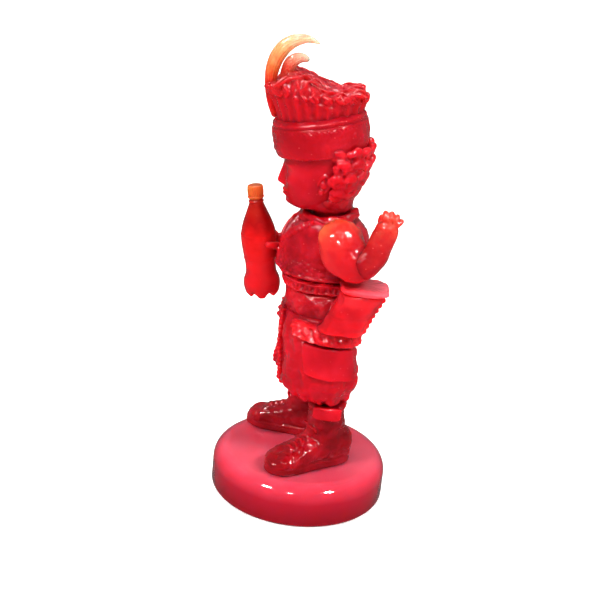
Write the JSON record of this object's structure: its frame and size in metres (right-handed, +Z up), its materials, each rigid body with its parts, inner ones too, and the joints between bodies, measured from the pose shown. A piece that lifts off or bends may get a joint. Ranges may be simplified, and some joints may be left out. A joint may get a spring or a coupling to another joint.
{
  "type": "art toy figurine",
  "caption": "Small translucent red cast art toy: a standing figure in a plumed headwrap holding a drink bottle, on a round base it lifts off.",
  "frame": {"origin": "middle of the base's underside", "axes": "+Z up, the figure faces -Y, its left side is +X"},
  "size_m": [0.0242, 0.0242, 0.0632],
  "materials": {
    "cast_red_clear": "glossy, translucent",
    "cast_red_thin": "glossy, translucent, lighter where thin",
    "cast_amber_tip": "glossy, translucent, orange to peach",
    "base_red": "polished gloss"
  },
  "bodies": {
    "base": {"base_disc": "base_red"},
    "figure": {"left_boot": "cast_red_clear", "right_boot": "cast_red_clear", "boot_tab": "cast_red_thin", "left_leg": "cast_red_clear", "right_leg": "cast_red_clear", "hips": "cast_red_clear", "belt": "cast_red_clear", "front_sash": "cast_red_clear", "thigh_flap": "cast_red_thin", "thigh_strap": "cast_red_thin", "holster": "cast_red_thin", "holster_lid": "cast_red_thin", "torso": "cast_red_clear", "vest": "cast_red_clear", "collar": "cast_red_clear", "neck_pin": "cast_red_clear", "left_shoulder_pin": "cast_red_clear", "right_shoulder_pin": "cast_red_clear"},
    "head": {"head": "cast_red_clear", "back_hair": "cast_red_clear", "headband": "cast_red_clear", "crest": "cast_red_clear", "tall_plume": "cast_amber_tip", "short_plume": "cast_amber_tip"},
    "left_arm": {"left_sleeve": "cast_red_thin", "left_forearm": "cast_red_thin"},
    "right_arm": {"right_sleeve": "cast_red_thin", "right_forearm": "cast_red_thin", "bottle": "cast_red_thin", "bottle_cap": "cast_amber_tip"}
  },
  "joints": [
    {"name": "figure_lift", "type": "slide", "parent": "base", "child": "figure", "axis": [0, 0, 1], "range_m": [0, 0.004]},
    {"name": "neck_turn", "type": "hinge", "parent": "figure", "child": "head", "pos_m": [0, 0.0004, 0.0403], "axis": [0, 0, 1], "range_deg": [-35, 35]},
    {"name": "left_shoulder_swing", "type": "hinge", "parent": "figure", "child": "left_arm", "pos_m": [0.0057, 0.0009, 0.0387], "axis": [1, 0, 0], "range_deg": [0, 40]},
    {"name": "right_shoulder_swing", "type": "hinge", "parent": "figure", "child": "right_arm", "pos_m": [-0.0057, 0.0009, 0.0387], "axis": [1, 0, 0], "range_deg": [-15, 0]}
  ]
}
